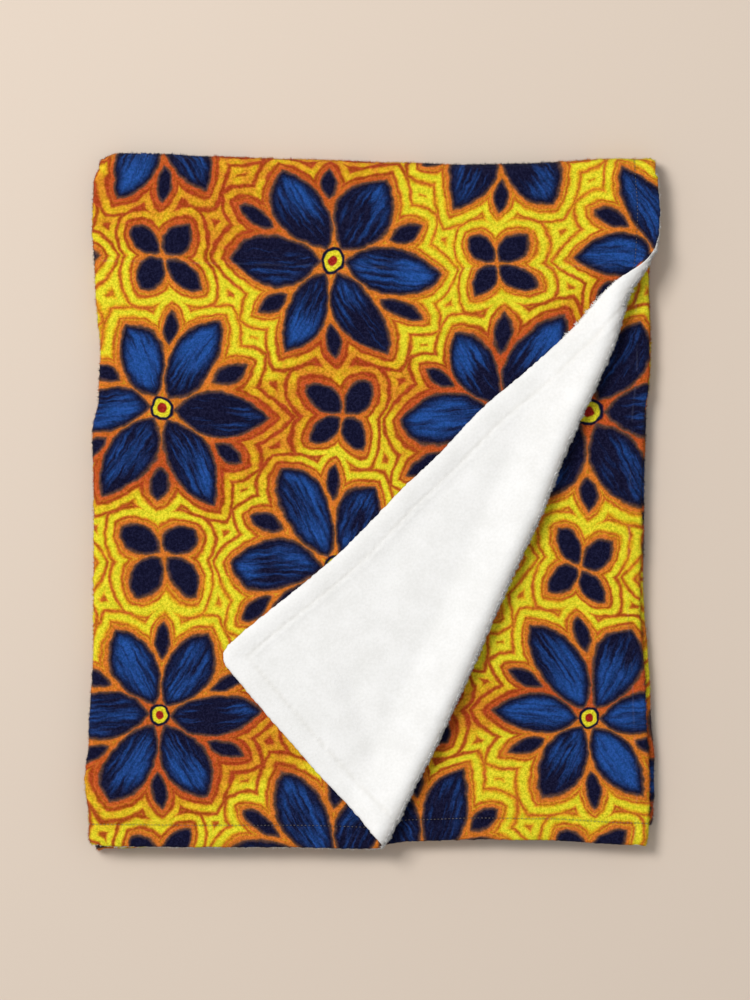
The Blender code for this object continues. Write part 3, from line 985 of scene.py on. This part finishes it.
def sew():
    """Points and faces of every stitch, and the face of the cloth that each of them is on."""
    points, faces, sides = [], [], []
    for start, end in seam_stretches():
        length = math.hypot(end[0] - start[0], end[1] - start[1])
        step = ((end[0] - start[0]) / length, (end[1] - start[1]) / length)
        for number in range(int(length / STITCH_PITCH)):
            middle = (number + 0.5) * STITCH_PITCH
            u, v = start[0] + step[0] * middle, start[1] + step[1] * middle
            for side in (1, -1):
                centre, facing = skin(u, v, side)
                ahead, _ = skin(u + step[0] * STITCH_LENGTH / 2, v + step[1] * STITCH_LENGTH / 2, side)
                along = (ahead - centre).normalized()
                across = along.cross(facing)
                first = len(points)
                for place, girth, lift in STITCH_RINGS:
                    ring_centre = centre + along * place * STITCH_LENGTH
                    ring_centre += facing * (lift * THREAD_RADIUS - THREAD_SUNK[side])
                    for turn in range(THREAD_SIDES):
                        angle = 2 * math.pi * turn / THREAD_SIDES
                        out = across * math.cos(angle) + facing * math.sin(angle)
                        points.append(ring_centre + out * THREAD_RADIUS * girth)
                for ring in range(len(STITCH_RINGS) - 1):
                    for turn in range(THREAD_SIDES):
                        one = first + THREAD_SIDES * ring + turn
                        two = first + THREAD_SIDES * ring + (turn + 1) % THREAD_SIDES
                        faces.append((one, two, two + THREAD_SIDES, one + THREAD_SIDES))
                        sides.append(side)
    return points, faces, sides


def thread_finish(name, darker, lighter):
    """The thread's finish, its two tones turning with the twist."""
    material, paint, surface, spot, _ = new_finish(name, THREAD_SHEEN)
    twist = paint.noise(spot, THREAD_TWIST, 1.0)
    colour = twist.rise(0.3, 0.7).blend(darker, lighter)
    connect(paint, surface, base_color=colour, roughness=twist * 0.2 + 0.55)
    return material


stitch_points, stitch_faces, stitch_sides = sew()
stitch_mesh = bpy.data.meshes.new("hem_stitches")
stitch_mesh.from_pydata(stitch_points, [], stitch_faces)
stitch_mesh.shade_smooth()
stitch_mesh.materials.append(thread_finish("white_thread", *WHITE_THREAD))
stitch_mesh.materials.append(thread_finish("dulled_thread", *DULLED_THREAD))
stitch_mesh.polygons.foreach_set("material_index", [int(side > 0) for side in stitch_sides])
stitches = bpy.data.objects.new("hem_stitches", stitch_mesh)
bpy.context.collection.objects.link(stitches)
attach(stitches, "root")


# The brushed pile stands away from the cloth wherever it bends or ends, so that its outline is soft. It is a
# fuzz of fine polyester fibres, thickest on the clumps and leaning as it was brushed. Elsewhere it lies flat.
FIBRE_LENGTH = {1: 0.0015, -1: 0.0019}
FIBRE_RADIUS = {1: 0.00020, -1: 0.00040}
TUFT_PITCH = 0.0034
FIBRE_ROOT = 0.00030
FIBRE_SIDES = 3
CLEAR_OF_GROUND = 0.0003
FIBRE_MAP_SPREAD = ((-0.0005, -0.0004), (0.0005, -0.0004), (0.0, 0.0006))

# Pile stands where the surface faces up by less than the first cosine, on mesh faces that face up by less
# than the second.
STEEPEST = 0.50
STEEPEST_FACE = 0.70

# Shares of a fibre's length: the least, the most that chance adds, and what a tuft adds.
LEAST_LENGTH = 0.35
CHANCE_LENGTH = 0.4
TUFT_LENGTH = 2.1

# The fibres of a patch lean together as they were brushed, each also leans its own way, and their tips bend.
BRUSHED_LEAN = 1.6
BRUSHED_PATCHES = 280
OTHER_PATCHES = Vector((9, 0, 0))
LEAN = 0.42
TIP_BEND = 0.25

# Stretches of the cloth with standing pile: from u to u, from v to v, face, fibres to the square centimetre.
SQUARE_CENTIMETRES = 10000
FOLD_MARGIN = 0.004
EDGE_BAND = 0.0050
PILE_STRETCHES = (
    (COVER_END - FOLD_MARGIN, INNER_START + FOLD_MARGIN, 0.0, CLOTH_WIDTH, 1, 110),
    (INNER_END - 0.002, TUCKED_START + 0.003, 0.0, CLOTH_WIDTH, 1, 110),
    (0.0, COVER_END, UPPER_END - FOLD_MARGIN, LOWER_START, 1, 100),
    (0.0, EDGE_BAND, 0.0, UPPER_END, 1, 180),
    (0.0, EDGE_BAND, 0.0, UPPER_END, -1, 400),
    (0.0, COVER_END, 0.0, EDGE_BAND, 1, 180),
    (0.0, COVER_END, 0.0, EDGE_BAND, -1, 400),
    (TUCKED_START, TUCKED_START + 0.280, 0.0, EDGE_BAND, 1, 180),
    (INNER_START, INNER_END, 0.0, EDGE_BAND, 1, 90),
    (0.0, EDGE_BAND, LOWER_START, CLOTH_WIDTH, -1, 150),
    (0.0, COVER_END, CLOTH_WIDTH - EDGE_BAND, CLOTH_WIDTH, -1, 150),
)
ROLL_PILE = (0.003, 0.024)
ROLL_PILE_DENSITY = 390


def pile_density(u, v, side):
    """How many fibres stand on a square centimetre of one face at (u, v) of the flat cloth."""
    past = past_fold_line(COVER_HEM_X - u, FRONT_Y + v) if on_top(u, v) else 0.0
    if side < 0 and ROLL_PILE[0] < past < ROLL_PILE[1]:
        return ROLL_PILE_DENSITY
    if side > 0 and past > ROLL_LENGTH:
        return 0
    for start_u, end_u, start_v, end_v, face, density in PILE_STRETCHES:
        if face == side and start_u <= u <= end_u and start_v <= v <= end_v:
            return density
    return 0


def grow_fibre(root, facing, side, place, chance, pile):
    """Adds one fibre, as three thin sides that meet at a bent tip. It keeps clear of the ground."""
    lean = Vector((chance.gauss(0, 1), chance.gauss(0, 1), chance.gauss(0, 1)))
    tuft = abs(noise.noise(root / TUFT_PITCH))
    length = FIBRE_LENGTH[side] * (LEAST_LENGTH + CHANCE_LENGTH * chance.random() + TUFT_LENGTH * tuft)
    patch = root * BRUSHED_PATCHES
    lean += BRUSHED_LEAN * Vector((noise.noise(patch), noise.noise(patch + OTHER_PATCHES), 0))
    growth = (facing + lean * LEAN).normalized()
    side_way = growth.orthogonal().normalized()
    other_way = growth.cross(side_way)
    tip = root + growth * length + side_way * length * TIP_BEND
    if min(tip.z, root.z) < CLEAR_OF_GROUND:
        return
    first = len(pile["points"])
    for turn in range(FIBRE_SIDES):
        angle = 2 * math.pi * turn / FIBRE_SIDES
        out = side_way * math.cos(angle) + other_way * math.sin(angle)
        pile["points"].append(root - facing * FIBRE_ROOT + out * FIBRE_RADIUS[side])
    pile["points"].append(tip)
    for turn in range(FIBRE_SIDES):
        pile["faces"].append((first + turn, first + (turn + 1) % FIBRE_SIDES, first + FIBRE_SIDES))
    pile["places"].extend([place] * (FIBRE_SIDES + 1))


def grow_pile(name, side, finish, chance):
    """All the standing pile of one face, as one piece."""
    pile = {"points": [], "faces": [], "places": []}
    flat_places = thick_mesh.uv_layers["FlatCloth"].data
    facings = [point.normal.copy() for point in thick_mesh.vertices]
    for face in thick_mesh.polygons:
        if face.material_index != (0 if side > 0 else 1) or face.normal.z > STEEPEST_FACE:
            continue
        middle = flat_middle(face)
        if from_cut_edge(*middle) < RIM_REACH:
            continue
        for _ in range(int(face.area * SQUARE_CENTIMETRES * pile_density(*middle, side) + chance.random())):
            far = chance.randrange(1, len(face.vertices) - 1)
            shares = [chance.random(), chance.random()]
            if sum(shares) > 1:
                shares = [1 - share for share in shares]
            spots = (0, 1 - sum(shares)), (far, shares[0]), (far + 1, shares[1])
            root, facing, flat = Vector(), Vector(), Vector((0, 0))
            for turn, share in spots:
                root += surface_points[face.vertices[turn]] * share
                facing += facings[face.vertices[turn]] * share
                flat += flat_places[face.loop_start + turn].uv * share
            facing.normalize()
            if facing.z < STEEPEST:
                grow_fibre(root, facing, side, tuple(flat), chance, pile)
    mesh = bpy.data.meshes.new(name)
    mesh.from_pydata(pile["points"], [], pile["faces"])
    mesh.shade_smooth()
    layer = mesh.uv_layers.new(name="FlatCloth")
    for corner in mesh.loops:
        layer.data[corner.index].uv = pile["places"][corner.vertex_index]
    lay_out(mesh, lambda face: side > 0, FIBRE_MAP_SPREAD)
    mesh.materials.append(finish)
    piece = bpy.data.objects.new(name, mesh)
    bpy.context.collection.objects.link(piece)
    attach(piece, "root")
    return piece


PILE_SEED = 7
chance = random.Random(PILE_SEED)
printed_pile = grow_pile("printed_pile", 1, printed_fleece, chance)
white_pile = grow_pile("white_pile", -1, white_reverse, chance)


# The ground is plain, pale and matt. It reaches past the picture on every side, and lies just under the
# throw's lowest fibres.
FLOOR_HALF = 8.0
FLOOR_HEIGHT = -0.0004
FLOOR_COLOUR = shade(214, 198, 182)

floor_mesh = bpy.data.meshes.new("floor")
floor_ring = ((-1, -1), (1, -1), (1, 1), (-1, 1))
floor_corners = [(x * FLOOR_HALF, y * FLOOR_HALF, FLOOR_HEIGHT) for x, y in floor_ring]
floor_mesh.from_pydata(floor_corners, [], [(0, 1, 2, 3)])
floor = bpy.data.objects.new("floor", floor_mesh)
bpy.context.collection.objects.link(floor)
floor_finish = bpy.data.materials.new("floor")
floor_finish.use_nodes = True
floor_surface = floor_finish.node_tree.nodes["Principled BSDF"]
floor_surface.inputs["Base Color"].default_value = FLOOR_COLOUR
floor_surface.inputs["Roughness"].default_value = 0.9
floor_mesh.materials.append(floor_finish)


# The light is soft: one wide lamp to the upper left, so that the roll and the edges cast faint shadows, and a
# pale sky all round.
KEY_PLACE = (-1.8, 1.5, 3.5)
KEY_SIZE = 1.6
KEY_POWER = 136
SKY_STRENGTH = 0.47

key = bpy.data.objects.new("key", bpy.data.lights.new("key", "AREA"))
key.data.size = KEY_SIZE
key.data.energy = KEY_POWER
key.location = KEY_PLACE
key.rotation_euler = (-Vector(KEY_PLACE)).to_track_quat("-Z", "Y").to_euler()
bpy.context.collection.objects.link(key)

sky = bpy.data.worlds.new("sky")
sky.use_nodes = True
sky.node_tree.nodes["Background"].inputs["Color"].default_value = (1, 1, 1, 1)
sky.node_tree.nodes["Background"].inputs["Strength"].default_value = SKY_STRENGTH
bpy.context.scene.world = sky
bpy.context.scene.view_settings.view_transform = "Standard"

bpy.context.view_layer.update()
